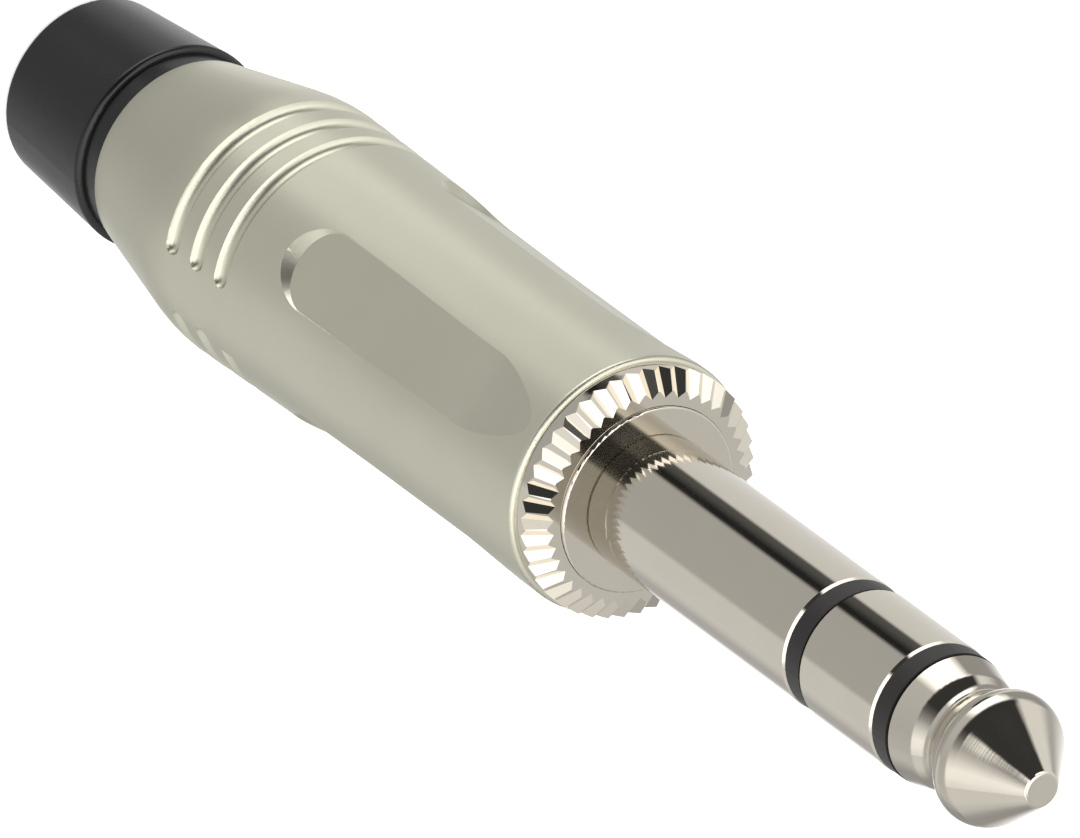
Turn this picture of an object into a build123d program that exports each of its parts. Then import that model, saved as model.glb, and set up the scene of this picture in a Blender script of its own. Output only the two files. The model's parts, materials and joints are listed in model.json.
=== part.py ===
"""Three-conductor 6.35 mm jack plug with a screw-on shell and a screw-in cable gland nut.

The plug stands on the flat rear end of its gland nut, tip up. The axis is +Z, the origin is the
centre of the rear face, and the bare middle of the shell's grip faces the front, which is -Y.
All sizes are in millimetres.
"""

import os
from math import asin, atan2, cos, hypot, radians, sin, tan

from build123d import *

# Contact finger, measured from the front face of the sleeve's flange
finger_r = 6.35 / 2
sleeve_length = 15.75
ring_insulator_width = 1.05
ring_length = 5.80
tip_insulator_width = 1.05
insulator_step = 0.045
contact_edge = 0.18

# Tip contact: a sloping shoulder, a neck, a ball and a cone, measured from its rear face
shoulder_step = 0.075
shoulder_end_r = 2.78
shoulder_length = 1.45
shoulder_round = 0.70
neck_r = 2.30
neck_at = 2.20
neck_round = 0.65
ball_at = 4.10
ball_round = 1.20
cone_angle = 38.0
nose_r = 0.80
nose_round = 0.30

# Coaxial stack inside the finger, from the rod outwards
rod_r = 0.90
inner_tube_wall = 0.30
ring_tube_wall = 0.50
outer_tube_wall = 0.50
fit_gap = 0.02
bush_spigot = 3.0

# Sleeve contact: its flange and the spigot pressed into the collar
flange_step = 0.38
flange_depth = 1.00
flange_edge = 0.12
root_groove_width = 0.09
root_groove_depth = 0.08
press_spigot_step = 0.67

# Knurled collar and its thread
collar_height = 1.58
collar_face_drop = 0.15
collar_band_step = 0.07
collar_band_width = 0.50
knurl_step = 0.17
knurl_bevel_width = 0.81
knurl_bevel_drop = 0.57
knurl_count = 44
knurl_angle = 118.0
knurl_floor_step = 0.32
knurl_land = 0.03
plug_thread_pitch = 0.75
plug_thread_turns = 7
collar_relief_depth = 0.33
collar_relief_width = 0.80
collar_chamfer = 0.30

# Terminals, washers and riveted ends behind the collar
sheet_thickness = 0.50
tag_bend = 0.60
tag_hole_r = 0.55
tag_gap = 0.194
washer_gap = 0.15
washer_rim = 0.05
ground_disc_width = 1.32
ground_tag_step = 0.40
ground_tag_width = 2.6
ground_tag_length = 12.0
ground_tag_angle = 180
body_washer_thickness = 1.0
ring_tag_step = 0.60
ring_tag_width = 2.2
ring_tag_length = 6.5
ring_tag_angle = 60
ring_flare_height = 0.40
ring_flare_width = 0.36
terminal_washer_thickness = 1.2
tip_tag_step = 0.60
tip_tag_width = 1.8
tip_tag_length = 6.5
tip_tag_angle = -60
rod_head_width = 0.50
rod_head_height = 0.60
rod_head_rim = 0.20

# Shell, measured from its rear end
shell_length = 36.24
shell_rear_wall = 0.57
shell_crown_rise = 0.285
shell_crown_at = 7.30
shell_crown_round = 12.0
shell_middle_rise = 0.05
shell_middle_at = 20.0
shell_front_wall = 1.10
shell_front_edge = 0.26
shell_rear_edge = 0.16
shell_thread_length = 6.5
shell_relief_depth = 0.14
shell_relief_width = 1.2
stop_lip_step = 0.35
stop_lip_at = 9.55
stop_lip_width = 0.75
thread_gap = 0.06

# Ring grooves, on the front and on the back of the shell
groove_count = 3
groove_past_crown = 1.45
groove_pitch = 1.91
groove_r = 0.52
groove_depth = 0.43
groove_half_angle = 72.0
groove_sides = 2

# Finger flats on the shell, between its bare faces and its sides
flat_count = 4
flat_first_angle = 45.0
flat_depth = 0.30
flat_foot_sink = 0.03
flat_even_length = 12.9
flat_run_out = 4.2
flat_run_out_rise = 0.34
flat_bend = 40.0
flat_half_width = 1.95
flat_end_at = 16.52
flat_wall_taper = 54.0

# Insulating liner
liner_wall = 0.40
liner_side_gap = 0.20
liner_end_gap = 0.10

# Gland nut
gland_reach = 8.18
nut_neck_step = 0.20
nut_neck_length = 1.18
nut_front_step = 0.14
nut_taper = 0.54
nut_front_edge = 0.30
nut_rear_edge = 0.30
nut_bore_edge = 0.25
nut_thread_pitch = 0.75
nut_thread_turns = 6
nut_relief_depth = 0.19
nut_relief_width = 0.70
nut_throat_rise = 0.33
nut_throat_wall = 0.41
nut_throat_length = 5.4
nut_mouth = 1.0

# Cable clamp, a slotted collet
clamp_ring_gap = 0.09
clamp_nut_gap = 0.95
clamp_bore_r = 2.85
clamp_jaw_wall = 0.48
clamp_jaw_gap = 0.12
clamp_jaw_tip = 0.25
clamp_tip_gap = 0.10
clamp_slot_width = 0.80
clamp_slot_count = 4
clamp_bite_depth = 0.15
clamp_bite_pitch = 1.1
clamp_bite_count = 4

# Radii that follow from the ones above
insulator_r = finger_r - insulator_step
shoulder_r = finger_r - shoulder_step
rod_bore_r = rod_r + fit_gap
inner_tube_r = rod_bore_r + inner_tube_wall
ring_bore_r = inner_tube_r + fit_gap
ring_tube_r = ring_bore_r + ring_tube_wall
bush_bore_r = ring_tube_r + fit_gap
outer_tube_r = bush_bore_r + outer_tube_wall
sleeve_bore_r = outer_tube_r + fit_gap
ground_disc_r = sleeve_bore_r + ground_disc_width
ground_tag_reach = ground_disc_r + ground_tag_step
body_washer_r = ground_tag_reach - sheet_thickness - washer_gap
ring_tag_reach = body_washer_r - washer_rim
ring_disc_r = ring_tag_reach - ring_tag_step
terminal_washer_r = ring_tag_reach - sheet_thickness - washer_gap
tip_tag_reach = terminal_washer_r - washer_rim
tip_disc_r = tip_tag_reach - tip_tag_step
liner_bore_r = hypot(ground_tag_reach, ground_tag_width / 2) + tag_gap
liner_r = liner_bore_r + liner_wall
shell_bore_r = liner_r + liner_side_gap
plug_thread_r = shell_bore_r - thread_gap
shell_front_r = shell_bore_r + shell_front_wall
shell_middle_r = shell_front_r + shell_middle_rise
shell_crown_r = shell_front_r + shell_crown_rise
flat_floor = shell_front_r - flat_depth
knurl_r = shell_front_r - knurl_step
collar_band_r = knurl_r - collar_band_step
knurl_face_r = knurl_r - knurl_bevel_width
knurl_floor_r = knurl_face_r - knurl_floor_step
flange_r = knurl_floor_r - flange_step
press_spigot_r = flange_r - press_spigot_step
nut_bore_r = clamp_bore_r + clamp_jaw_wall + clamp_jaw_gap
nut_throat_r = nut_bore_r + nut_throat_rise
nut_thread_r = nut_throat_r + nut_throat_wall
gland_bore_r = nut_thread_r + thread_gap
clamp_ring_r = gland_bore_r - clamp_ring_gap
stop_lip_r = gland_bore_r - stop_lip_step
shell_rear_r = gland_bore_r + shell_rear_wall
nut_neck_r = shell_rear_r - nut_neck_step
nut_front_r = shell_rear_r + nut_front_step
nut_rear_r = nut_front_r - nut_taper

# Stations along the axis
shell_rear_z = gland_reach
shell_front_z = shell_rear_z + shell_length
root_z = shell_front_z + collar_height
sleeve_end_z = root_z + sleeve_length
ring_start_z = sleeve_end_z + ring_insulator_width
ring_end_z = ring_start_z + ring_length
tip_start_z = ring_end_z + tip_insulator_width
collar_rear_z = shell_front_z - collar_relief_width - plug_thread_turns * plug_thread_pitch
ground_z = collar_rear_z - sheet_thickness
body_washer_z = ground_z - body_washer_thickness
ring_disc_z = body_washer_z - sheet_thickness
ring_flare_z = ring_disc_z - ring_flare_height
terminal_washer_z = ring_flare_z - terminal_washer_thickness
tip_disc_z = terminal_washer_z - sheet_thickness
rod_end_z = tip_disc_z - rod_head_height
stop_lip_z = shell_rear_z + stop_lip_at
stop_lip_front_z = stop_lip_z + stop_lip_width
nut_neck_z = shell_rear_z - nut_neck_length
nut_front_z = shell_rear_z + nut_relief_width + nut_thread_turns * nut_thread_pitch
throat_front_z = nut_front_z - nut_mouth
throat_rear_z = throat_front_z - nut_throat_length

# How far cutting tools run past the surface they cut
overrun = 1.0

os.makedirs("parts", exist_ok=True)


def half_plane(angle=0):
    """The plane through the axis at an angle: across is the radius and up is +Z."""
    turn = radians(angle)
    return Plane(origin=(0, 0, 0), x_dir=(cos(turn), sin(turn), 0), z_dir=(sin(turn), -cos(turn), 0))


def facing_plane(angle, distance=0):
    """The plane that faces outwards at an angle: across is tangential and up is +Z."""
    turn = radians(angle)
    outward = Vector(cos(turn), sin(turn), 0)
    return Plane(origin=outward * distance, x_dir=(-sin(turn), cos(turn), 0), z_dir=outward)


def round_corner(outline, r, z, radius):
    """Round the corner of a turned outline that is nearest to radius r and height z."""
    fillet(outline.vertices().sort_by_distance((r, z, 0))[0], radius)


def tube(outer_r, inner_r, low_z, high_z):
    """Add a plain tube about the axis to the part that is being built."""
    with BuildSketch(Plane.XY.offset(low_z)) as ring:
        Circle(outer_r)
        Circle(inner_r, mode=Mode.SUBTRACT)
    extrude(ring.sketch, amount=high_z - low_z)


def solder_tag(angle, top_z, disc_r, reach, width, length):
    """Add a strip that runs out from a terminal's disc, bends down and ends round, with a hole."""
    low_z = top_z - sheet_thickness
    end_z = low_z - length
    start = disc_r - sheet_thickness
    inner = reach - sheet_thickness
    with BuildSketch(half_plane(angle)) as strip:
        with BuildLine():
            Polyline(
                (start, top_z),
                (reach, top_z),
                (reach, end_z),
                (inner, end_z),
                (inner, low_z),
                (start, low_z),
                close=True,
            )
        make_face()
        round_corner(strip, reach, top_z, tag_bend)
    extrude(strip.sketch, amount=width / 2, both=True)
    with BuildSketch(facing_plane(angle, reach + overrun)) as end_cut:
        with Locations((0, end_z + width / 4)):
            Rectangle(width, width / 2)
        with Locations((0, end_z + width / 2)):
            Circle(width / 2, mode=Mode.SUBTRACT)
            Circle(tag_hole_r)
    extrude(end_cut.sketch, amount=-(sheet_thickness + 2 * overrun), mode=Mode.SUBTRACT)


def save(piece, name):
    """Label a finished piece and write it as its own STEP file."""
    piece.part.label = name
    export_step(piece.part, f"parts/{name}.step")


# Tip contact: a ball end on a long rod that is riveted over behind its terminal
cone_slope = radians(cone_angle)
ball_z = tip_start_z + ball_at
neck_z = tip_start_z + neck_at
ball_centre_r = finger_r - ball_round
cone_start_r = ball_centre_r + ball_round * cos(cone_slope)
cone_start_z = ball_z + ball_round * sin(cone_slope)
tip_end_z = cone_start_z + (cone_start_r - nose_r) / tan(cone_slope)
neck_to_ball = hypot(ball_centre_r - neck_r, ball_z - neck_z)
ramp_slope = atan2(ball_centre_r - neck_r, ball_z - neck_z) + asin(ball_round / neck_to_ball)
ramp_end_r = ball_centre_r + ball_round * cos(ramp_slope)
ramp_end_z = ball_z - ball_round * sin(ramp_slope)
shoulder_z = tip_start_z + shoulder_length

with BuildPart() as tip_contact:
    with BuildSketch(half_plane()) as tip_outline:
        with BuildLine():
            Polyline((0, tip_end_z), (nose_r, tip_end_z), (cone_start_r, cone_start_z))
            ThreePointArc(
                (cone_start_r, cone_start_z),
                (finger_r, ball_z),
                (ramp_end_r, ramp_end_z),
            )
            Polyline(
                (ramp_end_r, ramp_end_z),
                (neck_r, neck_z),
                (shoulder_end_r, shoulder_z),
                (shoulder_r, tip_start_z + contact_edge),
                (shoulder_r - contact_edge, tip_start_z),
                (rod_r, tip_start_z),
                (rod_r, tip_disc_z),
                (rod_r + rod_head_width, tip_disc_z),
                (rod_r + rod_head_width, tip_disc_z - rod_head_rim),
                (rod_r, rod_end_z),
                (0, rod_end_z),
                (0, tip_end_z),
            )
        make_face()
        round_corner(tip_outline, nose_r, tip_end_z, nose_round)
        round_corner(tip_outline, neck_r, neck_z, neck_round)
        round_corner(tip_outline, shoulder_end_r, shoulder_z, shoulder_round)
    revolve(axis=Axis.Z)
save(tip_contact, "tip_contact")

# Tip insulator: a shouldered bush between the tip and the ring
with BuildPart() as tip_insulator:
    tube(insulator_r, rod_bore_r, ring_end_z, tip_start_z)
    tube(inner_tube_r, rod_bore_r, ring_end_z - bush_spigot, ring_end_z)
save(tip_insulator, "tip_insulator")

# Inner tube: insulates the rod from the ring's tube
with BuildPart() as inner_tube:
    tube(inner_tube_r, rod_bore_r, ring_flare_z, ring_end_z - bush_spigot)
save(inner_tube, "inner_tube")

# Ring contact: a ring and its tube in one turned piece, flared over behind its terminal
with BuildPart() as ring_contact:
    with BuildSketch(half_plane()):
        with BuildLine():
            Polyline(
                (ring_bore_r, ring_end_z),
                (finger_r - contact_edge, ring_end_z),
                (finger_r, ring_end_z - contact_edge),
                (finger_r, ring_start_z + contact_edge),
                (finger_r - contact_edge, ring_start_z),
                (ring_tube_r, ring_start_z),
                (ring_tube_r, ring_disc_z),
                (ring_tube_r + ring_flare_width, ring_disc_z),
                (ring_tube_r, ring_flare_z),
                (ring_bore_r, ring_flare_z),
                close=True,
            )
        make_face()
    revolve(axis=Axis.Z)
save(ring_contact, "ring_contact")

# Ring insulator: a shouldered bush between the ring and the sleeve
with BuildPart() as ring_insulator:
    tube(insulator_r, bush_bore_r, sleeve_end_z, ring_start_z)
    tube(outer_tube_r, bush_bore_r, sleeve_end_z - bush_spigot, sleeve_end_z)
save(ring_insulator, "ring_insulator")

# Outer tube: insulates the ring's tube from the sleeve, the collar and the ground terminal
with BuildPart() as outer_tube:
    tube(outer_tube_r, bush_bore_r, ground_z, sleeve_end_z - bush_spigot)
save(outer_tube, "outer_tube")

# Sleeve contact: the shank, its flange and the spigot that is pressed into the collar
with BuildPart() as sleeve_contact:
    with BuildSketch(half_plane()) as sleeve_outline:
        with BuildLine():
            Polyline(
                (sleeve_bore_r, sleeve_end_z),
                (finger_r - contact_edge, sleeve_end_z),
                (finger_r, sleeve_end_z - contact_edge),
                (finger_r, root_z - root_groove_depth),
                (finger_r + root_groove_width, root_z - root_groove_depth),
                (finger_r + root_groove_width, root_z),
                (flange_r, root_z),
                (flange_r, root_z - flange_depth),
                (press_spigot_r, root_z - flange_depth),
                (press_spigot_r, collar_rear_z),
                (sleeve_bore_r, collar_rear_z),
                close=True,
            )
        make_face()
        round_corner(sleeve_outline, flange_r, root_z, flange_edge)
    revolve(axis=Axis.Z)
save(sleeve_contact, "sleeve_contact")

# Knurled collar: a stepped ring with a serrated bevel in front and the shell's thread behind
collar_face_z = root_z - collar_face_drop
collar_band_z = shell_front_z + collar_band_width
knurl_floor_start = Vector(knurl_floor_r, 0, collar_face_z)
knurl_floor_end = Vector(knurl_r, 0, collar_band_z + knurl_land)
knurl_run = knurl_floor_end - knurl_floor_start
groove_start = knurl_floor_start - knurl_run.normalized() * overrun

with BuildPart() as knurl_groove:
    with BuildSketch(Plane(origin=groove_start, x_dir=(0, 1, 0), z_dir=knurl_run)):
        with BuildLine():
            Polyline(
                (0, 0),
                (overrun * tan(radians(knurl_angle / 2)), overrun),
                (-overrun * tan(radians(knurl_angle / 2)), overrun),
                close=True,
            )
        make_face()
    extrude(amount=knurl_run.length + 2 * overrun)

with BuildPart() as knurled_collar:
    with BuildSketch(half_plane()) as collar_outline:
        with BuildLine():
            Polyline(
                (flange_r + fit_gap, collar_face_z),
                (knurl_face_r, collar_face_z),
                (knurl_r, collar_face_z - knurl_bevel_drop),
                (knurl_r, collar_band_z),
                (collar_band_r, collar_band_z),
                (collar_band_r, shell_front_z),
                (plug_thread_r - collar_relief_depth, shell_front_z),
                (plug_thread_r - collar_relief_depth, shell_front_z - collar_relief_width),
                (plug_thread_r, shell_front_z - collar_relief_width),
                (plug_thread_r, collar_rear_z + collar_chamfer),
                (plug_thread_r - collar_chamfer, collar_rear_z),
                (press_spigot_r + fit_gap, collar_rear_z),
                (press_spigot_r + fit_gap, root_z - flange_depth),
                (flange_r + fit_gap, root_z - flange_depth),
                close=True,
            )
        make_face()
    revolve(axis=Axis.Z)
    with PolarLocations(0, knurl_count):
        add(knurl_groove.part, mode=Mode.SUBTRACT)
save(knurled_collar, "knurled_collar")

# Ground terminal: a ring clamped behind the collar, with the longest solder tag
with BuildPart() as ground_terminal:
    tube(ground_disc_r, sleeve_bore_r, ground_z, collar_rear_z)
    solder_tag(
        ground_tag_angle,
        collar_rear_z,
        ground_disc_r,
        ground_tag_reach,
        ground_tag_width,
        ground_tag_length,
    )
save(ground_terminal, "ground_terminal")

# Body washer: insulates the ring terminal from the ground terminal
with BuildPart() as body_washer:
    tube(body_washer_r, bush_bore_r, body_washer_z, ground_z)
save(body_washer, "body_washer")

# Ring terminal: riveted on the end of the ring's tube
with BuildPart() as ring_terminal:
    tube(ring_disc_r, bush_bore_r, ring_disc_z, body_washer_z)
    solder_tag(
        ring_tag_angle,
        body_washer_z,
        ring_disc_r,
        ring_tag_reach,
        ring_tag_width,
        ring_tag_length,
    )
save(ring_terminal, "ring_terminal")

# Terminal washer: insulates the tip terminal from the ring's riveted end
with BuildPart() as terminal_washer:
    tube(terminal_washer_r, rod_bore_r, terminal_washer_z, ring_flare_z)
save(terminal_washer, "terminal_washer")

# Tip terminal: riveted on the end of the rod
with BuildPart() as tip_terminal:
    tube(tip_disc_r, rod_bore_r, tip_disc_z, terminal_washer_z)
    solder_tag(
        tip_tag_angle,
        terminal_washer_z,
        tip_disc_r,
        tip_tag_reach,
        tip_tag_width,
        tip_tag_length,
    )
save(tip_terminal, "tip_terminal")

# Insulating liner: keeps the solder joints off the shell
with BuildPart() as insulating_liner:
    tube(liner_r, liner_bore_r, stop_lip_front_z, collar_rear_z - liner_end_gap)
save(insulating_liner, "insulating_liner")

# Shell: a turned grip with ring grooves, finger flats, two threads and an inner stop lip
crown_z = shell_rear_z + shell_crown_at
middle_z = shell_rear_z + shell_middle_at
relief_low_z = shell_front_z - shell_thread_length - shell_relief_width

# What one finger flat takes off: a sloping wall round its rear end, and a floor that runs out in front
flat_end_z = shell_rear_z + flat_end_at + flat_half_width
flat_bend_z = flat_end_z + flat_even_length
flat_foot_r = flat_floor - flat_foot_sink
flat_top_r = shell_crown_r + overrun

with BuildPart() as finger_flat:
    with BuildSketch(facing_plane(-90, flat_floor)):
        with Locations((0, flat_end_z)):
            Circle(flat_half_width)
        with Locations((0, (flat_end_z + shell_front_z) / 2)):
            Rectangle(2 * flat_half_width, shell_front_z - flat_end_z)
    extrude(amount=overrun, taper=-flat_wall_taper)
    with BuildSketch(half_plane(-90)) as floor_line:
        with BuildLine():
            Polyline(
                (flat_foot_r, flat_end_z),
                (flat_foot_r, flat_bend_z),
                (flat_foot_r + flat_run_out_rise, flat_bend_z + flat_run_out),
                (flat_top_r, flat_bend_z + flat_run_out),
                (flat_top_r, shell_rear_z),
                (flat_foot_r, shell_rear_z),
                close=True,
            )
        make_face()
        round_corner(floor_line, flat_foot_r, flat_bend_z, flat_bend)
    extrude(floor_line.sketch, amount=shell_crown_r, both=True, mode=Mode.INTERSECT)

with BuildPart() as shell:
    with BuildSketch(half_plane()) as shell_outline:
        with BuildLine():
            Polyline((gland_bore_r, shell_rear_z), (shell_rear_r, shell_rear_z), (shell_crown_r, crown_z))
            ThreePointArc(
                (shell_crown_r, crown_z),
                (shell_middle_r, middle_z),
                (shell_front_r, shell_front_z),
            )
            Polyline(
                (shell_front_r, shell_front_z),
                (shell_bore_r, shell_front_z),
                (shell_bore_r, shell_front_z - shell_thread_length),
                (shell_bore_r + shell_relief_depth, shell_front_z - shell_thread_length),
                (shell_bore_r + shell_relief_depth, relief_low_z),
                (shell_bore_r, relief_low_z),
                (shell_bore_r, stop_lip_front_z),
                (stop_lip_r, stop_lip_front_z),
                (stop_lip_r, stop_lip_z),
                (gland_bore_r, stop_lip_z),
                (gland_bore_r, shell_rear_z),
            )
        make_face()
        round_corner(shell_outline, shell_crown_r, crown_z, shell_crown_round)
        round_corner(shell_outline, shell_rear_r, shell_rear_z, shell_rear_edge)
        round_corner(shell_outline, shell_front_r, shell_front_z, shell_front_edge)
    revolve(axis=Axis.Z)

    # Finger flats on the four corners
    with PolarLocations(0, flat_count, start_angle=flat_first_angle):
        add(finger_flat.part, mode=Mode.SUBTRACT)

    # Ring grooves on the front and on the back, with round ends short of the sides
    groove_centre_r = shell_crown_r - groove_depth + groove_r
    for side in range(groove_sides):
        groove_start_angle = -90 + side * 360 / groove_sides - groove_half_angle
        for groove in range(groove_count):
            groove_z = crown_z + groove_past_crown + groove * groove_pitch
            with BuildSketch(half_plane(groove_start_angle)):
                with Locations((groove_centre_r, groove_z)):
                    Circle(groove_r)
            revolve(axis=Axis.Z, revolution_arc=2 * groove_half_angle, mode=Mode.SUBTRACT)
            with Locations((0, 0, groove_z)):
                groove_span = 2 * groove_half_angle
                with PolarLocations(groove_centre_r, 2, groove_start_angle, groove_span, endpoint=True):
                    Sphere(groove_r, mode=Mode.SUBTRACT)
save(shell, "shell")

# Gland nut: tapers to the cable's way in, and its throat closes the clamp's jaws
with BuildPart() as gland_nut:
    with BuildSketch(half_plane()) as nut_outline:
        with BuildLine():
            Polyline(
                (nut_bore_r, 0),
                (nut_rear_r, 0),
                (nut_front_r, nut_neck_z),
                (nut_neck_r, nut_neck_z),
                (nut_neck_r, shell_rear_z),
                (nut_thread_r - nut_relief_depth, shell_rear_z),
                (nut_thread_r - nut_relief_depth, shell_rear_z + nut_relief_width),
                (nut_thread_r, shell_rear_z + nut_relief_width),
                (nut_thread_r, nut_front_z),
                (nut_throat_r, nut_front_z),
                (nut_throat_r, throat_front_z),
                (nut_bore_r, throat_rear_z),
                close=True,
            )
        make_face()
        round_corner(nut_outline, nut_bore_r, 0, nut_bore_edge)
        round_corner(nut_outline, nut_rear_r, 0, nut_rear_edge)
        round_corner(nut_outline, nut_front_r, nut_neck_z, nut_front_edge)
    revolve(axis=Axis.Z)
save(gland_nut, "gland_nut")

# Cable clamp: a ring that seats on the stop lip and slotted jaws that reach into the throat
clamp_root_z = nut_front_z + clamp_nut_gap
jaw_root_r = nut_throat_r - clamp_jaw_gap
jaw_tip_r = nut_bore_r - clamp_jaw_gap
jaw_tip_z = throat_rear_z + clamp_tip_gap

with BuildPart() as cable_clamp:
    with BuildSketch(half_plane()):
        with BuildLine():
            Polyline(
                (clamp_bore_r, stop_lip_z),
                (clamp_ring_r, stop_lip_z),
                (clamp_ring_r, clamp_root_z),
                (jaw_root_r, clamp_root_z),
                (jaw_root_r, throat_front_z),
                (jaw_tip_r, jaw_tip_z + clamp_jaw_tip),
                (jaw_tip_r - clamp_jaw_tip, jaw_tip_z),
                (clamp_bore_r, jaw_tip_z),
                close=True,
            )
        make_face()
    revolve(axis=Axis.Z)
    with BuildSketch(half_plane()):
        with Locations((clamp_bore_r, jaw_tip_z + clamp_bite_pitch)):
            with GridLocations(0, clamp_bite_pitch, 1, clamp_bite_count, align=(Align.CENTER, Align.MIN)):
                RegularPolygon(clamp_bite_depth, 4)
    revolve(axis=Axis.Z, mode=Mode.SUBTRACT)
    with BuildSketch(Plane.XY.offset(jaw_tip_z - overrun)):
        with PolarLocations(clamp_ring_r / 2, clamp_slot_count):
            Rectangle(clamp_ring_r, clamp_slot_width)
    extrude(amount=clamp_root_z - jaw_tip_z + overrun, mode=Mode.SUBTRACT)
save(cable_clamp, "cable_clamp")
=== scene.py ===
"""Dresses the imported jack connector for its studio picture.

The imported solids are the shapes. This script gives them their finishes, winds the two outer
threads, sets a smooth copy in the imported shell's place, and puts up the floor, the light tent and
the camera.
"""

import json
import logging
import math
from dataclasses import dataclass, field
from enum import Enum, IntEnum
from typing import Any, Dict, List, Optional, Sequence, Tuple

import bmesh
import bpy
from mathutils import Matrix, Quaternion, Vector

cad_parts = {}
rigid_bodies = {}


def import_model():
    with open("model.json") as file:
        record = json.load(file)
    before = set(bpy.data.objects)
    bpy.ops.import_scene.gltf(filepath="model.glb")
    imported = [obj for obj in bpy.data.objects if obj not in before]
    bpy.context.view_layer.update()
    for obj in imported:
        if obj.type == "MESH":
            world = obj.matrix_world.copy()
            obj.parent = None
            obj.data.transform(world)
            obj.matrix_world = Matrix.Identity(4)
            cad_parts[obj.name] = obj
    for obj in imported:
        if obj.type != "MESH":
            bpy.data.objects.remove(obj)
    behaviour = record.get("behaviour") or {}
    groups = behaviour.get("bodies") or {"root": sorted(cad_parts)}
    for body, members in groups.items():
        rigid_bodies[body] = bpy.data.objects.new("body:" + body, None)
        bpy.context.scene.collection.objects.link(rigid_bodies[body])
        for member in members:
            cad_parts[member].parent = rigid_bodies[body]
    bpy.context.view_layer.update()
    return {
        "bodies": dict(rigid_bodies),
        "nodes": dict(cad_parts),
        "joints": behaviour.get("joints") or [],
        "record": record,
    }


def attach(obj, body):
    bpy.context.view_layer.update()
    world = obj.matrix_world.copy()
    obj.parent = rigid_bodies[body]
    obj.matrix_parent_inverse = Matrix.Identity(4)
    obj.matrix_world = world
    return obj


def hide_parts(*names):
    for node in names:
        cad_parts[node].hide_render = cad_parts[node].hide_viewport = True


LOG = logging.getLogger("jack_connector")
MM = 0.001
WHITE = "#ffffff"

# Where the camera stands round the object, which the light tent is turned by as well
CAMERA_AZIMUTH_DEG = -49.5

# A noise's octaves, and how much of itself each finer one keeps
CLOUD_NOISE = {"Detail": 4.0, "Roughness": 0.55}
RELIEF_NOISE = {"Detail": 2.0, "Roughness": 0.6}
# The cloud noise hardly leaves this range, so the gloss is spread over it
CLOUD_LOW, CLOUD_HIGH = 0.3, 0.7

Stop = Tuple[float, float]
Colour = Tuple[float, float, float, float]


class Slot(Enum):
    """The record's material slots."""

    SHELL = "shell_metal"
    CONTACT = "contact_metal"
    TERMINAL = "terminal_metal"
    GLAND = "gland_metal"
    INSULATOR = "insulator_plastic"
    CLAMP = "clamp_plastic"
    LINER = "liner_plastic"


class Hand(Enum):
    """The way a screw thread winds."""

    RIGHT = "right"
    LEFT = "left"


class Side(IntEnum):
    """The part of the shell's outside that a face is on. The other flats count on from the first."""

    OTHER = 0
    WAIST = 1
    FIRST_FLAT = 2


def linear(colour: str) -> Colour:
    """Turn an sRGB hex colour into linear RGBA.

    Args:
        colour: Six hex digits, with or without a leading hash.

    Returns:
        Red, green, blue and alpha as linear values.
    """
    digits = colour.lstrip("#")
    parts = [int(digits[i:i + 2], 16) / 255 for i in (0, 2, 4)]
    # The sRGB curve: straight near black, and a power above that
    made = [c / 12.92 if c <= 0.04045 else ((c + 0.055) / 1.055) ** 2.4 for c in parts]
    return made[0], made[1], made[2], 1.0


def per_metre(size_mm: float) -> float:
    """Give the texture scale at which one feature is size_mm wide in Object coordinates."""
    return 1 / (size_mm * MM)


def add_node(tree: bpy.types.NodeTree, kind: str, inputs: Optional[Dict[Any, Any]] = None,
             **settings: Any) -> bpy.types.Node:
    """Add one node with its settings and its links.

    Args:
        tree: The tree that gets the node.
        kind: The node's type name.
        inputs: Socket name or number, and the value or the output socket that feeds it.
        **settings: The node's own properties.

    Returns:
        The new node.
    """
    made = tree.nodes.new(kind)
    for name, value in settings.items():
        setattr(made, name, value)
    for key, value in (inputs or {}).items():
        if isinstance(value, bpy.types.NodeSocket):
            tree.links.new(value, made.inputs[key])
        else:
            made.inputs[key].default_value = value
    return made


def set_stops(ramp: bpy.types.ColorRamp, stops: Sequence[Stop]) -> None:
    """Give a colour ramp its grey stops.

    Args:
        ramp: The ramp to fill.
        stops: Position from 0 to 1, and the grey value there.
    """
    while len(ramp.elements) > 1:
        ramp.elements.remove(ramp.elements[-1])
    for i, (place, grey) in enumerate(stops):
        element = ramp.elements[0] if i == 0 else ramp.elements.new(place)
        element.position = place
        element.color = (grey, grey, grey, 1.0)


def blank_material(name: str) -> Tuple[bpy.types.Material, bpy.types.NodeTree]:
    """Make a material with an empty node tree.

    Args:
        name: The material's name.

    Returns:
        The material and its tree.
    """
    material = bpy.data.materials.new(name)
    material.use_nodes = True
    material.node_tree.nodes.clear()
    return material, material.node_tree


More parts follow.
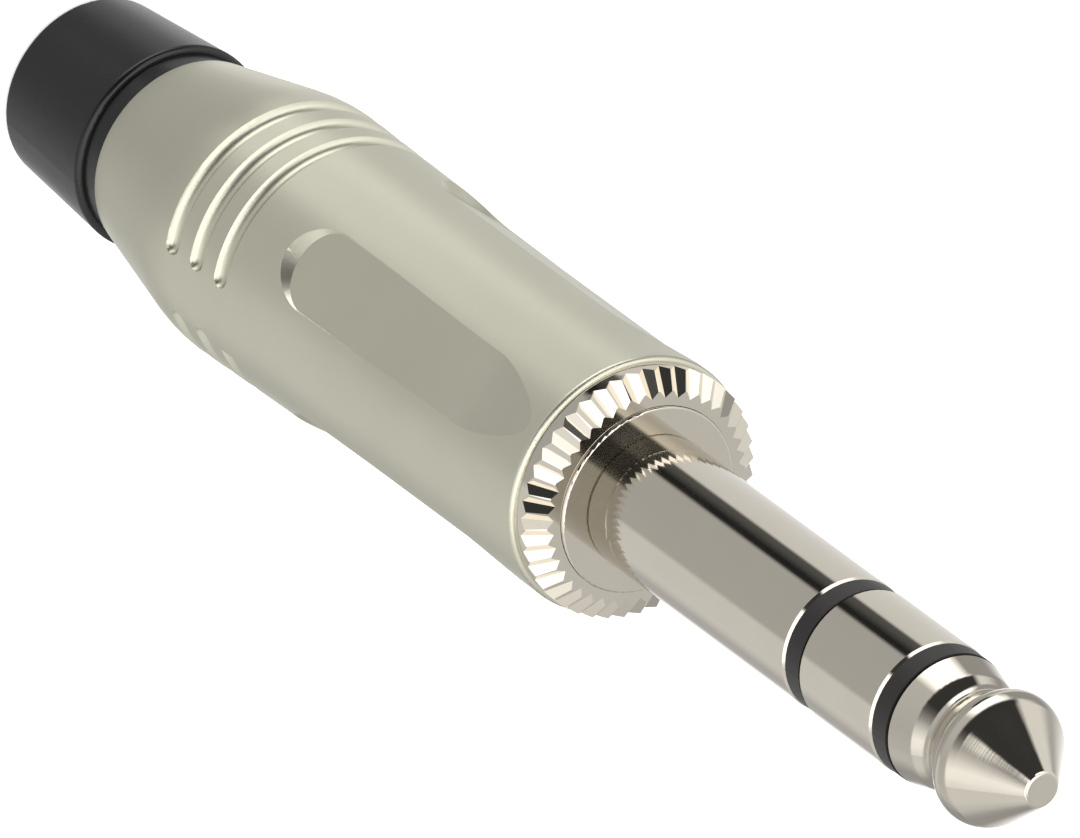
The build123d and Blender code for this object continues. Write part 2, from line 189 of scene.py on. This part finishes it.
@dataclass(frozen=True)
class Finish:
    """A colour with a quiet second tone, a gloss that varies with it, and a fine relief."""

    name: str
    colour: str
    second_colour: str
    roughness: float
    roughness_spread: float
    metallic: float
    cloud_mm: float
    relief_mm: float
    relief_depth_mm: float

    def relief(self, tree: bpy.types.NodeTree,
               place: bpy.types.NodeSocket) -> bpy.types.NodeSocket:
        """Draw the height of the relief, in the way of each kind of finish.

        Args:
            tree: The material's tree.
            place: The Object coordinates.

        Returns:
            The height, from 0 to 1.
        """
        raise NotImplementedError

    def build(self) -> bpy.types.Material:
        """Build the material, with slow clouds that drive its tone and its gloss.

        Returns:
            The finished material.
        """
        material, tree = blank_material(self.name)
        place = add_node(tree, "ShaderNodeTexCoord").outputs["Object"]
        cloud = add_node(tree, "ShaderNodeTexNoise", {
            "Vector": place, "Scale": per_metre(self.cloud_mm), **CLOUD_NOISE})
        bump = add_node(tree, "ShaderNodeBump", {
            "Height": self.relief(tree, place), "Distance": self.relief_depth_mm * MM,
            "Strength": 1.0})
        tone = add_node(tree, "ShaderNodeMix", {
            "Factor": cloud.outputs["Fac"], "A": linear(self.colour),
            "B": linear(self.second_colour)}, data_type="RGBA")
        gloss = add_node(tree, "ShaderNodeMapRange", {
            "Value": cloud.outputs["Fac"], "From Min": CLOUD_LOW, "From Max": CLOUD_HIGH,
            "To Min": self.roughness - self.roughness_spread,
            "To Max": self.roughness + self.roughness_spread})
        surface = add_node(tree, "ShaderNodeBsdfPrincipled", {
            "Base Color": tone.outputs["Result"], "Roughness": gloss.outputs["Result"],
            "Metallic": self.metallic, "Normal": bump.outputs["Normal"]})
        add_node(tree, "ShaderNodeOutputMaterial", {"Surface": surface.outputs["BSDF"]})
        return material


@dataclass(frozen=True)
class Grained(Finish):
    """A surface with a fine even grain, such as blasted metal, lacquer or moulded plastic."""

    def relief(self, tree: bpy.types.NodeTree,
               place: bpy.types.NodeSocket) -> bpy.types.NodeSocket:
        """Draw an even grain.

        Args:
            tree: The material's tree.
            place: The Object coordinates.

        Returns:
            The grain's height.
        """
        return add_node(tree, "ShaderNodeTexNoise", {
            "Vector": place, "Scale": per_metre(self.relief_mm), **RELIEF_NOISE}).outputs["Fac"]


@dataclass(frozen=True)
class Turned(Finish):
    """A surface from the lathe, with fine rings round the axis on its sides and its faces."""

    def relief(self, tree: bpy.types.NodeTree,
               place: bpy.types.NodeSocket) -> bpy.types.NodeSocket:
        """Draw rings that change with the radius and the height only.

        Args:
            tree: The material's tree.
            place: The Object coordinates.

        Returns:
            The rings' height.
        """
        parts = add_node(tree, "ShaderNodeSeparateXYZ", {"Vector": place})
        flat = add_node(tree, "ShaderNodeCombineXYZ", {
            "X": parts.outputs["X"], "Y": parts.outputs["Y"]})
        radius = add_node(tree, "ShaderNodeVectorMath", {0: flat.outputs["Vector"]},
                          operation="LENGTH")
        rings = add_node(tree, "ShaderNodeCombineXYZ", {
            "X": radius.outputs["Value"], "Y": parts.outputs["Z"]})
        return add_node(tree, "ShaderNodeTexNoise", {
            "Vector": rings.outputs["Vector"], "Scale": per_metre(self.relief_mm),
            **RELIEF_NOISE}, noise_dimensions="2D").outputs["Fac"]


# Zinc shell, bead-blasted before it is nickel-plated: a soft warm grey with no sharp reflection.
SATIN_NICKEL = Grained(
    name="satin_nickel_on_blasted_zinc", colour="#dcdac8", second_colour="#d2d0bd",
    roughness=0.36, roughness_spread=0.02, metallic=1.0,
    cloud_mm=6.0, relief_mm=0.10, relief_depth_mm=0.004)
# Brass, turned, polished and nickel-plated: a mirror with a faint warm tint and fine lathe rings.
BRIGHT_NICKEL = Turned(
    name="bright_nickel_on_turned_brass", colour="#d6d0c4", second_colour="#cfc8ba",
    roughness=0.07, roughness_spread=0.02, metallic=1.0,
    cloud_mm=3.0, relief_mm=0.08, relief_depth_mm=0.0003)
# Brass strip, punched and left plain: yellow, with a dull sheen.
PUNCHED_BRASS = Grained(
    name="punched_brass_strip", colour="#c9a55f", second_colour="#b8924c",
    roughness=0.28, roughness_spread=0.05, metallic=1.0,
    cloud_mm=1.5, relief_mm=0.20, relief_depth_mm=0.003)
# Turned metal with a black satin lacquer: dark, with a soft broad highlight.
BLACK_LACQUER = Grained(
    name="black_satin_lacquer_on_metal", colour="#0b0c0a", second_colour="#0f100d",
    roughness=0.27, roughness_spread=0.03, metallic=0.0,
    cloud_mm=4.0, relief_mm=0.14, relief_depth_mm=0.003)
# Moulded black nylon: near black, with a dull even sheen.
BLACK_NYLON = Grained(
    name="moulded_black_nylon", colour="#1d1918", second_colour="#262120",
    roughness=0.42, roughness_spread=0.04, metallic=0.0,
    cloud_mm=1.2, relief_mm=0.12, relief_depth_mm=0.003)
# Glass-filled grey nylon: grey, slightly mottled, matt.
GREY_NYLON = Grained(
    name="moulded_grey_nylon", colour="#4a4b4a", second_colour="#555655",
    roughness=0.50, roughness_spread=0.05, metallic=0.0,
    cloud_mm=1.5, relief_mm=0.16, relief_depth_mm=0.005)
# Unpigmented nylon tube: cream and waxy.
NATURAL_NYLON = Grained(
    name="extruded_natural_nylon", colour="#d9d3bd", second_colour="#cec7ae",
    roughness=0.38, roughness_spread=0.04, metallic=0.0,
    cloud_mm=3.0, relief_mm=0.25, relief_depth_mm=0.003)

FINISHES: Dict[Slot, Finish] = {
    Slot.SHELL: SATIN_NICKEL,
    Slot.CONTACT: BRIGHT_NICKEL,
    Slot.TERMINAL: PUNCHED_BRASS,
    Slot.GLAND: BLACK_LACQUER,
    Slot.INSULATOR: BLACK_NYLON,
    Slot.CLAMP: GREY_NYLON,
    Slot.LINER: NATURAL_NYLON,
}


class Palette:
    """Builds each finish once and hands it out by slot."""

    def __init__(self) -> None:
        """Start with nothing built."""
        self._made: Dict[Slot, bpy.types.Material] = {}

    def get(self, slot: Slot) -> bpy.types.Material:
        """Give the material of a slot, built when it is first asked for.

        Args:
            slot: The slot.

        Returns:
            The slot's material.
        """
        if slot not in self._made:
            self._made[slot] = FINISHES[slot].build()
        return self._made[slot]


def dress(node: bpy.types.Object, material: bpy.types.Material) -> None:
    """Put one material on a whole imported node.

    Args:
        node: The node's object.
        material: The material.
    """
    if not node.material_slots:
        node.data.materials.append(material)
    for slot in node.material_slots:
        slot.material = material


@dataclass
class ScrewThread:
    """One screw thread, wound along its cylinder by Geometry Nodes.

    Its ridge is low and broad, because it has to turn in a bore that is only a little wider.
    """

    name: str
    body: str
    slot: Slot
    radius_mm: float
    start_mm: float
    turns: float
    pitch_mm: float = 0.75
    ridge_mm: float = 0.048
    ridge_width_mm: float = 0.62
    ridge_corners: int = 4
    hand: Hand = Hand.RIGHT
    steps_per_turn: int = 72

    def tree(self) -> bpy.types.NodeTree:
        """Build the tree that winds the thread.

        Returns:
            The Geometry Nodes tree.
        """
        tree = bpy.data.node_groups.new(self.name + "_winding", "GeometryNodeTree")
        face = tree.interface
        face.new_socket("Geometry", in_out="OUTPUT", socket_type="NodeSocketGeometry")
        for label, kind in (
                ("Radius", "Float"), ("Pitch", "Float"), ("Turns", "Float"), ("Start", "Float"),
                ("Height", "Float"), ("Width", "Float"), ("Steps", "Int"), ("Right Hand", "Bool"),
                ("Finish", "Material")):
            face.new_socket(label, in_out="INPUT", socket_type="NodeSocket" + kind)
        given = add_node(tree, "NodeGroupInput").outputs
        rise = add_node(tree, "ShaderNodeMath", {0: given["Pitch"], 1: given["Turns"]},
                        operation="MULTIPLY")
        steps = add_node(tree, "ShaderNodeMath", {0: given["Steps"], 1: given["Turns"]},
                         operation="MULTIPLY")
        # A spiral that isn't reversed rises clockwise, which winds a left-hand thread
        path = add_node(tree, "GeometryNodeCurveSpiral", {
            "Resolution": given["Steps"], "Rotations": given["Turns"],
            "Start Radius": given["Radius"], "End Radius": given["Radius"],
            "Height": rise.outputs[0], "Reverse": given["Right Hand"]})
        fine = add_node(tree, "GeometryNodeResampleCurve", {
            "Curve": path.outputs["Curve"], "Count": steps.outputs[0]})
        lift = add_node(tree, "ShaderNodeCombineXYZ", {"Z": given["Start"]})
        moved = add_node(tree, "GeometryNodeTransform", {
            "Geometry": fine.outputs["Curve"], "Translation": lift.outputs["Vector"]})
        upright = add_node(tree, "GeometryNodeSetCurveNormal", {"Curve": moved.outputs["Geometry"]},
                           mode="Z_UP")
        # The ridge's section is a circle of four corners, stretched to its height and width
        diamond = add_node(tree, "GeometryNodeCurvePrimitiveCircle", {
            "Resolution": self.ridge_corners, "Radius": 1.0})
        half = add_node(tree, "ShaderNodeMath", {0: given["Width"], 1: 0.5}, operation="MULTIPLY")
        size = add_node(tree, "ShaderNodeCombineXYZ", {
            "X": given["Height"], "Y": half.outputs[0], "Z": 1.0})
        ridge = add_node(tree, "GeometryNodeTransform", {
            "Geometry": diamond.outputs["Curve"], "Scale": size.outputs["Vector"]})
        swept = add_node(tree, "GeometryNodeCurveToMesh", {
            "Curve": upright.outputs["Curve"], "Profile Curve": ridge.outputs["Geometry"],
            "Fill Caps": True})
        real = add_node(tree, "GeometryNodeRealizeInstances", {"Geometry": swept.outputs["Mesh"]})
        done = add_node(tree, "GeometryNodeSetMaterial", {
            "Geometry": real.outputs["Geometry"], "Material": given["Finish"]})
        add_node(tree, "NodeGroupOutput", {"Geometry": done.outputs["Geometry"]})
        return tree

    def build(self, palette: Palette) -> bpy.types.Object:
        """Wind the thread, make it a plain mesh and put it on its body.

        Args:
            palette: The finishes.

        Returns:
            The thread's object.
        """
        tree = self.tree()
        values = {
            "Radius": self.radius_mm * MM, "Pitch": self.pitch_mm * MM, "Turns": self.turns,
            "Start": self.start_mm * MM, "Height": self.ridge_mm * MM,
            "Width": self.ridge_width_mm * MM, "Steps": self.steps_per_turn,
            "Right Hand": self.hand is Hand.RIGHT, "Finish": palette.get(self.slot)}
        made = bpy.data.objects.new(self.name, bpy.data.meshes.new(self.name + "_seed"))
        bpy.context.scene.collection.objects.link(made)
        winding = made.modifiers.new("winding", "NODES")
        winding.node_group = tree
        for item in tree.interface.items_tree:
            if item.in_out == "INPUT":
                winding[item.identifier] = values[item.name]
        bpy.context.view_layer.update()
        graph = bpy.context.evaluated_depsgraph_get()
        mesh = bpy.data.meshes.new_from_object(made.evaluated_get(graph), depsgraph=graph)
        made.modifiers.remove(winding)
        made.data = mesh
        mesh.name = self.name
        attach(made, self.body)
        return made


@dataclass
class SubAssembly:
    """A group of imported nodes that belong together, each with its slot."""

    title: str
    nodes: Dict[str, Slot]
    threads: List[ScrewThread] = field(default_factory=list)

    def build(self, frame: Dict[str, Any], palette: Palette) -> List[bpy.types.Object]:
        """Dress the nodes and add what the group has of its own.

        Args:
            frame: The loaded frame.
            palette: The finishes.

        Returns:
            Every object of the group.
        """
        made = []
        for name, slot in self.nodes.items():
            dress(frame["nodes"][name], palette.get(slot))
            made.append(frame["nodes"][name])
        made += [thread.build(palette) for thread in self.threads]
        return made


@dataclass
class ContactFinger(SubAssembly):
    """The plug's finger: tip, ring and sleeve with the insulators between them."""

    title: str = "contact finger"
    nodes: Dict[str, Slot] = field(default_factory=lambda: {
        "tip_contact": Slot.CONTACT, "ring_contact": Slot.CONTACT, "sleeve_contact": Slot.CONTACT,
        "tip_insulator": Slot.INSULATOR, "ring_insulator": Slot.INSULATOR,
        "inner_tube": Slot.INSULATOR, "outer_tube": Slot.INSULATOR})


@dataclass
class PlugRear(SubAssembly):
    """The collar behind the finger, and the stack of terminals and washers."""

    title: str = "plug rear"
    nodes: Dict[str, Slot] = field(default_factory=lambda: {
        "knurled_collar": Slot.CONTACT, "ground_terminal": Slot.TERMINAL,
        "ring_terminal": Slot.TERMINAL, "tip_terminal": Slot.TERMINAL,
        "body_washer": Slot.INSULATOR, "terminal_washer": Slot.INSULATOR})
    threads: List[ScrewThread] = field(default_factory=lambda: [ScrewThread(
        name="collar_thread", body="plug", slot=Slot.CONTACT,
        radius_mm=4.94, start_mm=39.02, turns=5.7)])


@dataclass
class Grip(SubAssembly):
    """The shell that the hand holds, with its liner.

    The satin shell shows every slip of its shading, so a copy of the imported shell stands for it,
    with the same shape, smaller triangles and the normals of a turned surface with true flats.
    """

    title: str = "grip"
    nodes: Dict[str, Slot] = field(default_factory=lambda: {"insulating_liner": Slot.LINER})
    body: str = "shell"
    skin_slot: Slot = Slot.SHELL
    # The outside's waist is one arc through three points: height and radius
    arc_mm: Sequence[Tuple[float, float]] = ((15.48, 6.385), (28.18, 6.15), (44.42, 6.10))
    # The heights between which a face counts as on the waist, and how near the arc it has to be
    arc_from_mm: float = 17.0
    arc_to_mm: float = 44.17
    on_arc_mm: float = 0.004
    # The cuts: rows across the waist and the flats, and sectors round the waist
    rows_from_mm: float = 22.0
    row_mm: float = 1.1
    sectors: int = 80
    # The flats: their places round the shell, their depth, and how exactly a face has to fit one
    flat_count: int = 4
    flat_first_deg: float = -45.0
    flat_floor_mm: float = 5.80
    flat_slack_mm: float = 0.01
    flat_lean_most: float = 0.09
    flat_tilt_most: float = 0.002
    # Faces that meet at a sharper angle than this keep their edge
    crease_deg: float = 30.0
    # Points that are nearer than the first become one, and one nearer a cut than the second is on it
    weld_mm: float = 0.001
    on_cut_mm: float = 0.0001

    def waist(self, z: float) -> Tuple[float, float]:
        """Give the radius of the waist's arc and its slope at a height.

        Args:
            z: The height in metres.

        Returns:
            The radius in metres, and how fast it grows with height.
        """
        (z0, r0), (z1, r1), (z2, r2) = [(h * MM, r * MM) for h, r in self.arc_mm]
        # The arc's centre is as far from the first point as from the near and the far one, which
        # gives one equation each
        z_near, r_near = 2 * (z1 - z0), 2 * (r1 - r0)
        z_far, r_far = 2 * (z2 - z0), 2 * (r2 - r0)
        near = z1 * z1 - z0 * z0 + r1 * r1 - r0 * r0
        far = z2 * z2 - z0 * z0 + r2 * r2 - r0 * r0
        whole = z_near * r_far - r_near * z_far
        centre_z = (near * r_far - r_near * far) / whole
        centre_r = (z_near * far - near * z_far) / whole
        arc = math.hypot(z0 - centre_z, r0 - centre_r)
        reach = math.sqrt(arc * arc - (z - centre_z) ** 2)
        return centre_r - reach, (z - centre_z) / reach

    def side_of(self, face: bmesh.types.BMFace) -> int:
        """Say which part of the outside a face is on.

        Args:
            face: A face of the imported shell.

        Returns:
            A Side, or one of the numbers that count on from its first flat.
        """
        step, first = math.tau / self.flat_count, math.radians(self.flat_first_deg)
        near = round((math.atan2(face.normal.y, face.normal.x) - first) / step)
        out = Vector((math.cos(first + near * step), math.sin(first + near * step), 0))
        aside = abs(face.normal.dot(Vector((-out.y, out.x, 0))))
        lowest = self.flat_floor_mm - self.flat_slack_mm
        deep = all(v.co.dot(out) / MM > lowest for v in face.verts)
        level = -self.flat_lean_most < face.normal.z < self.flat_tilt_most
        if deep and level and aside < self.flat_tilt_most:
            return Side.FIRST_FLAT + near % self.flat_count
        on_arc = all(
            self.arc_from_mm < v.co.z / MM < self.arc_to_mm
            and abs(math.hypot(v.co.x, v.co.y) - self.waist(v.co.z)[0]) < self.on_arc_mm * MM
            for v in face.verts)
        return Side.WAIST if on_arc else Side.OTHER

    def cut(self, work: bmesh.types.BMesh, side: bmesh.types.BMLayerItem) -> None:
        """Cut the waist and the flats into rows, and the waist into sectors.

        Args:
            work: The shell's copy.
            side: The layer that holds each face's side.
        """
        rows = int((self.arc_to_mm - self.rows_from_mm) / self.row_mm)
        planes = [((0, 0, (self.rows_from_mm + i * self.row_mm) * MM), (0, 0, 1), True)
                  for i in range(rows)]
        for i in range(self.sectors // 2):
            turn = math.tau * i / self.sectors
            planes.append(((0, 0, 0), (math.cos(turn), math.sin(turn), 0), False))
        for place, across, flats_too in planes:
            faces = [f for f in work.faces
                     if f[side] == Side.WAIST or (flats_too and f[side] >= Side.FIRST_FLAT)]
            edges = {e for f in faces for e in f.edges}
            verts = {v for f in faces for v in f.verts}
            bmesh.ops.bisect_plane(
                work, geom=[*verts, *edges, *faces], dist=self.on_cut_mm * MM,
                plane_co=place, plane_no=across)
        bmesh.ops.triangulate(work, faces=work.faces)
        for vert in work.verts:
            if all(f[side] == Side.WAIST for f in vert.link_faces):
                flat = Vector((vert.co.x, vert.co.y, 0)).normalized() * self.waist(vert.co.z)[0]
                vert.co = flat + Vector((0, 0, vert.co.z))

    def true_normals(self, work: bmesh.types.BMesh,
                     side: bmesh.types.BMLayerItem) -> List[Vector]:
        """Give every corner the normal that the real surface has there.

        Args:
            work: The shell's copy.
            side: The layer that holds each face's side.

        Returns:
            One normal for each corner, in the order of the faces.
        """
        limit = math.cos(math.radians(self.crease_deg))
        normals = []
        for face in work.faces:
            for loop in face.loops:
                place = loop.vert.co
                if face[side] == Side.WAIST:
                    out = Vector((place.x, place.y, 0)).normalized()
                    slope = self.waist(place.z)[1]
                    normals.append((out - Vector((0, 0, slope))).normalized())
                    continue
                total = Vector()
                for other in loop.vert.link_loops:
                    near = other.face.normal.dot(face.normal) > limit
                    if near and (face[side] == Side.OTHER or other.face[side] == face[side]):
                        total += other.face.normal * other.calc_angle()
                normals.append(total.normalized())
        return normals

    def skin(self, node: bpy.types.Object, palette: Palette) -> bpy.types.Object:
        """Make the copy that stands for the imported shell.

        Args:
            node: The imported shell.
            palette: The finishes.

        Returns:
            The copy.
        """
        work = bmesh.new()
        work.from_mesh(node.data)
        bmesh.ops.remove_doubles(work, verts=work.verts, dist=self.weld_mm * MM)
        work.normal_update()
        side = work.faces.layers.int.new("side")
        for face in work.faces:
            face[side] = self.side_of(face)
        self.cut(work, side)
        work.normal_update()
        normals = self.true_normals(work, side)
        work.faces.layers.int.remove(side)
        mesh = bpy.data.meshes.new("satin_shell")
        work.to_mesh(mesh)
        work.free()
        mesh.polygons.foreach_set("use_smooth", [True] * len(mesh.polygons))
        mesh.normals_split_custom_set(normals)
        mesh.materials.append(palette.get(self.skin_slot))
        made = bpy.data.objects.new("satin_shell", mesh)
        bpy.context.scene.collection.objects.link(made)
        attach(made, self.body)
        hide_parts(node.name)
        return made

    def build(self, frame: Dict[str, Any], palette: Palette) -> List[bpy.types.Object]:
        """Dress the liner and make the shell's copy.

        Args:
            frame: The loaded frame.
            palette: The finishes.

        Returns:
            Every object of the group.
        """
        return super().build(frame, palette) + [self.skin(frame["nodes"]["shell"], palette)]


@dataclass
class CableGland(SubAssembly):
    """The rear nut and the slotted clamp that it closes on the cable."""

    title: str = "cable gland"
    nodes: Dict[str, Slot] = field(default_factory=lambda: {
        "gland_nut": Slot.GLAND, "cable_clamp": Slot.CLAMP})
    threads: List[ScrewThread] = field(default_factory=lambda: [ScrewThread(
        name="nut_thread", body="nut", slot=Slot.GLAND,
        radius_mm=4.19, start_mm=9.25, turns=5.0)])


# How the tent grows bright again from the gap's middle round to the back: the azimuth from the
# camera in degrees, and the brightness
FROM_GAP_TO_BACK: Tuple[Stop, ...] = (
    (-5, 0.05), (6, 0.16), (21, 0.42), (31, 0.72), (41, 1.0), (55, 1.35), (68, 1.30), (82, 0.9),
    (104, 0.9), (130, 0.6), (180, 0.75))


@dataclass(frozen=True)
class Band:
    """One height of the light tent, and how bright it is all round.

    It begins to show at from_deg above the horizon and is there in full at whole_deg.
    """

    from_deg: float
    whole_deg: float
    stops: Sequence[Stop]


@dataclass
class LightTent:
    """The white tent round the object, with the dark gap where the camera looks in."""

    facing_deg: float = CAMERA_AZIMUTH_DEG
    gain: float = 2.5
    bands: Sequence[Band] = (
        # Under the bar
        Band(-90.0, -90.0, (
            (-180, 1.80), (-155, 1.40), (-125, 0.55), (-70, 0.48), (-25, 0.48), (0, 0.46),
            (30, 0.46), (82, 0.55), (100, 0.60), (135, 0.45), (155, 1.00), (180, 1.80))),
        # The height that a straight upright side shows to the camera, with one dark bar
        Band(-55.5, -52.0, (
            (-180, 1.30), (-160, 0.90), (-78, 0.84), (-73, 0.12), (-64, 0.10), (-52, 0.02),
            (-45, 0.03), (-39, 0.54), (50, 0.56), (57, 0.84), (108, 0.82), (128, 0.56),
            (148, 0.52), (162, 0.95), (180, 1.30))),
        # Over the bar
        Band(-44.0, -40.5, (
            (-180, 1.30), (-155, 0.90), (-130, 0.42), (-88, 0.42), (-70, 2.2), (-36, 2.2),
            (-20, 0.68), (50, 0.62), (100, 0.72), (125, 0.42), (150, 0.42), (180, 1.30))),
        # The gap where the camera looks in
        Band(-14.0, 0.0, (
            (-180, 0.75), (-133, 1.0), (-94, 1.0), (-85, 0.05), *FROM_GAP_TO_BACK)),
        # Two steps beside the gap's middle, where its left edge leans in
        Band(21.5, 22.8, (
            (-180, 0.75), (-133, 1.0), (-96, 1.3), (-88, 1.6), (-72, 1.6), (-68, 0.05),
            *FROM_GAP_TO_BACK)),
        Band(24.6, 26.2, (
            (-180, 0.75), (-133, 1.0), (-96, 1.4), (-88, 1.8), (-60, 1.8), (-56, 0.05),
            *FROM_GAP_TO_BACK)),
        # Beside the gap's upper half
        Band(28.6, 30.2, (
            (-180, 0.74), (-125, 0.80), (-96, 1.6), (-88, 2.2), (-47, 2.2), (-41, 0.05),
            (-8, 0.05), (-1, 2.2), (80, 2.2), (100, 1.4), (125, 0.75), (180, 0.74))),
        # The height that the camera itself is at
        Band(44.5, 46.5, (
            (-180, 0.74), (-125, 0.80), (-96, 1.2), (-88, 0.05), (2, 0.04), (9, 0.50),
            (100, 0.58), (125, 0.66), (180, 0.74))),
        # The top of the tent
        Band(51.0, 54.0, (
            (-180, 0.70), (-125, 0.85), (-95, 1.9), (-70, 2.2), (80, 2.2), (100, 1.4),
            (125, 0.80), (180, 0.70))))

    def build(self) -> None:
        """Build the world: the tent for every ray but the camera's own, which sees plain white."""
        world = bpy.data.worlds.new("light_tent")
        world.use_nodes = True
        tree = world.node_tree
        tree.nodes.clear()
        place = add_node(tree, "ShaderNodeTexCoord")
        turned = add_node(tree, "ShaderNodeVectorRotate", {
            "Vector": place.outputs["Generated"], "Angle": math.radians(-self.facing_deg)},
            rotation_type="Z_AXIS")
        parts = add_node(tree, "ShaderNodeSeparateXYZ", {"Vector": turned.outputs["Vector"]})
        angle = add_node(tree, "ShaderNodeMath", {0: parts.outputs["Y"], 1: parts.outputs["X"]},
                         operation="ARCTAN2")
        share = add_node(tree, "ShaderNodeMapRange", {
            "Value": angle.outputs[0], "From Min": -math.pi, "From Max": math.pi})
        tone = None
        for band in self.bands:
            ramp = add_node(tree, "ShaderNodeValToRGB", {"Fac": share.outputs["Result"]})
            set_stops(ramp.color_ramp, [((a + 180) / 360, g / self.gain) for a, g in band.stops])
            if tone is None:
                tone = ramp.outputs["Color"]
                continue
            height = add_node(tree, "ShaderNodeMapRange", {
                "Value": parts.outputs["Z"], "From Min": math.sin(math.radians(band.from_deg)),
                "From Max": math.sin(math.radians(band.whole_deg))},
                interpolation_type="SMOOTHSTEP")
            tone = add_node(tree, "ShaderNodeMix", {
                "Factor": height.outputs["Result"], "A": tone, "B": ramp.outputs["Color"]},
                data_type="RGBA").outputs["Result"]
        seen = add_node(tree, "ShaderNodeLightPath")
        inside = add_node(tree, "ShaderNodeBackground", {"Color": tone, "Strength": self.gain})
        outside = add_node(tree, "ShaderNodeBackground", {"Color": linear(WHITE), "Strength": 1.0})
        both = add_node(tree, "ShaderNodeMixShader", {
            0: seen.outputs["Is Camera Ray"], 1: inside.outputs["Background"],
            2: outside.outputs["Background"]})
        add_node(tree, "ShaderNodeOutputWorld", {"Surface": both.outputs["Shader"]})
        bpy.context.scene.world = world


@dataclass
class Studio:
    """The floor, the tent and the camera."""

    floor_half_width_m: float = 3.0
    floor_drop_mm: float = 0.02
    floor_colour: str = "#f2f2f0"
    floor_glow: float = 0.55
    tent: LightTent = field(default_factory=LightTent)
    camera_azimuth_deg: float = CAMERA_AZIMUTH_DEG
    camera_elevation_deg: float = 48.0
    camera_roll_deg: float = 126.36
    camera_distance_m: float = 1.5
    camera_lens_mm: float = 1150.0
    camera_sensor_mm: float = 36.0
    camera_near_m: float = 0.1
    camera_far_m: float = 20.0
    aim_out_mm: float = 4.376
    aim_aside_mm: float = -0.059
    aim_height_mm: float = 42.06

    def floor(self) -> None:
        """Lay the pale floor, which keeps the object's shadow and is clear from below."""
        material, tree = blank_material("pale_studio_floor")
        seen = add_node(tree, "ShaderNodeLightPath")
        side = add_node(tree, "ShaderNodeNewGeometry")
        matt = add_node(tree, "ShaderNodeBsdfDiffuse", {"Color": linear(self.floor_colour)})
        level = add_node(tree, "ShaderNodeMath", {
            0: seen.outputs["Is Camera Ray"], 1: self.floor_glow}, operation="MULTIPLY")
        glow = add_node(tree, "ShaderNodeEmission", {
            "Color": linear(WHITE), "Strength": level.outputs[0]})
        lit = add_node(tree, "ShaderNodeAddShader", {
            0: matt.outputs["BSDF"], 1: glow.outputs["Emission"]})
        clear = add_node(tree, "ShaderNodeBsdfTransparent")
        both = add_node(tree, "ShaderNodeMixShader", {
            0: side.outputs["Backfacing"], 1: lit.outputs["Shader"], 2: clear.outputs["BSDF"]})
        add_node(tree, "ShaderNodeOutputMaterial", {"Surface": both.outputs["Shader"]})
        mesh = bpy.data.meshes.new("studio_floor")
        half, z = self.floor_half_width_m, -self.floor_drop_mm * MM
        mesh.from_pydata([(-half, -half, z), (half, -half, z), (half, half, z), (-half, half, z)],
                         [], [(0, 1, 2, 3)])
        mesh.materials.append(material)
        made = bpy.data.objects.new("studio_floor", mesh)
        bpy.context.scene.collection.objects.link(made)
        # The metal shows the tent's lower half, and not the floor
        made.visible_glossy = False

    def camera(self) -> None:
        """Set the camera at the photograph's angle, rolled as the photograph is."""
        turn, rise = math.radians(self.camera_azimuth_deg), math.radians(self.camera_elevation_deg)
        out = Vector((math.cos(turn), math.sin(turn), 0))
        aside = Vector((-math.sin(turn), math.cos(turn), 0))
        back = out * math.cos(rise) + Vector((0, 0, math.sin(rise)))
        aim = (out * self.aim_out_mm + aside * self.aim_aside_mm
               + Vector((0, 0, self.aim_height_mm))) * MM
        lens = bpy.data.cameras.new("studio_camera")
        lens.lens = self.camera_lens_mm
        lens.sensor_width = self.camera_sensor_mm
        lens.sensor_fit = "HORIZONTAL"
        lens.clip_start = self.camera_near_m
        lens.clip_end = self.camera_far_m
        made = bpy.data.objects.new("studio_camera", lens)
        bpy.context.scene.collection.objects.link(made)
        made.rotation_mode = "QUATERNION"
        made.location = aim + back * self.camera_distance_m
        made.rotation_quaternion = (-back).to_track_quat("-Z", "Y") @ Quaternion(
            (0, 0, 1), math.radians(self.camera_roll_deg))
        bpy.context.scene.camera = made

    def build(self) -> None:
        """Build the whole studio and set how colours are shown."""
        self.camera()
        self.tent.build()
        self.floor()
        bpy.context.scene.view_settings.view_transform = "Standard"


def main() -> None:
    """Load the frame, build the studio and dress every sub-assembly."""
    logging.basicConfig(level=logging.INFO, format="%(message)s")
    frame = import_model()
    Studio().build()
    palette = Palette()
    for group in (ContactFinger(), PlugRear(), Grip(), CableGland()):
        for piece in group.build(frame, palette):
            LOG.info("%s: %s", group.title, piece.name)


if __name__ == "__main__":
    main()
